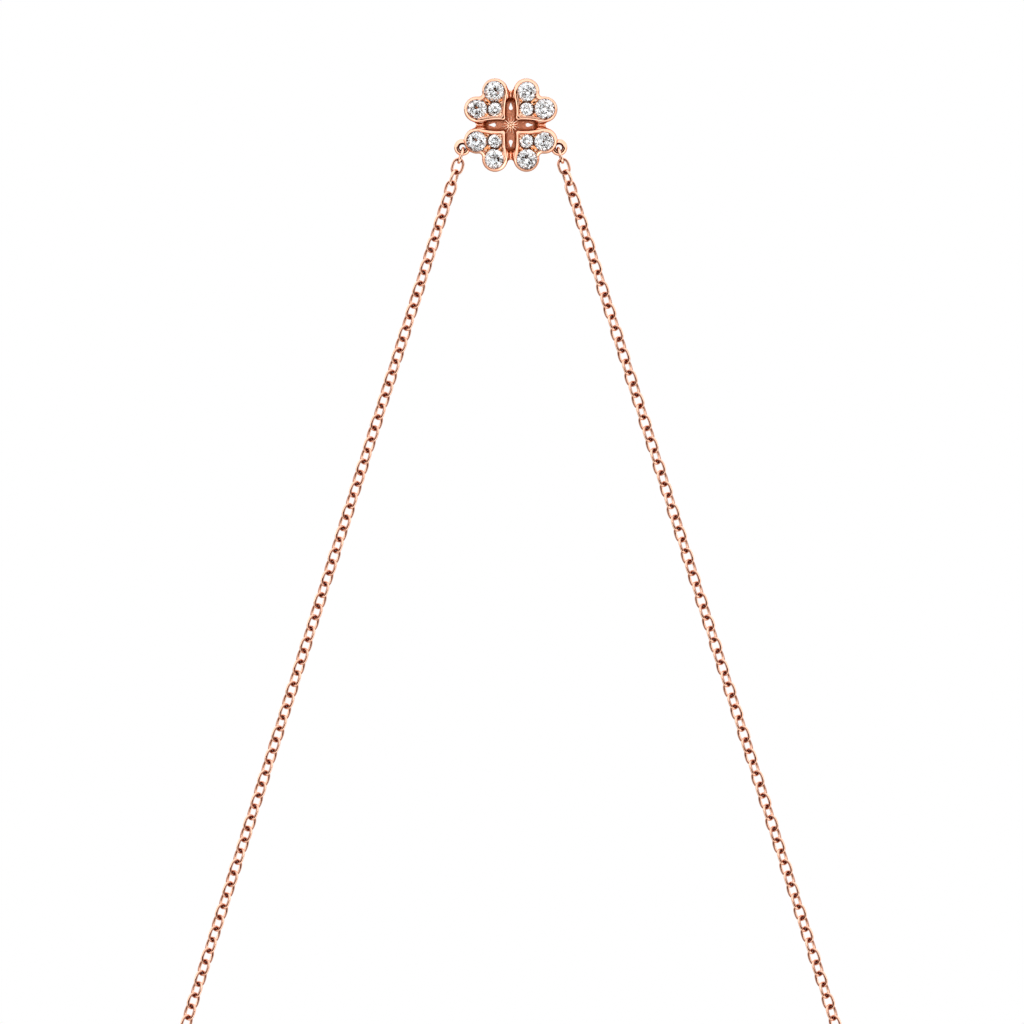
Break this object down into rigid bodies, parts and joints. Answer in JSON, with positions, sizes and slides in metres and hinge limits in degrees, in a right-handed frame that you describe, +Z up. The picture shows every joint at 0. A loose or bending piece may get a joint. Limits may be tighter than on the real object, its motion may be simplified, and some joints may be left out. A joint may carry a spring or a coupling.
{
  "type": "clover pendant necklace",
  "caption": "Rose gold four leaf clover pendant with round brilliants in heart shaped petals and a pierced cross, on a closed cable chain.",
  "frame": {"origin": "mount nape_rest: the chain's centre line in the middle of the nape, where the necklace hangs", "axes": "+Z up, the clover hangs below the origin; the clover's front looks to -Y; the loop lies in the XZ plane"},
  "size_m": [0.0906, 0.0044, 0.1702],
  "materials": {
    "rose_gold": "polished rose gold",
    "stone": "polished facets"
  },
  "bodies": {
    "root": {"setting": "rose_gold", "large_stone_1": "stone", "large_stone_2": "stone", "large_stone_3": "stone", "large_stone_4": "stone", "large_stone_5": "stone", "large_stone_6": "stone", "large_stone_7": "stone", "large_stone_8": "stone", "small_stone_1": "stone", "small_stone_2": "stone", "small_stone_3": "stone", "small_stone_4": "stone", "chain_left": "rose_gold", "chain_right": "rose_gold", "clasp": "rose_gold", "end_ring": "rose_gold"}
  },
  "joints": []
}
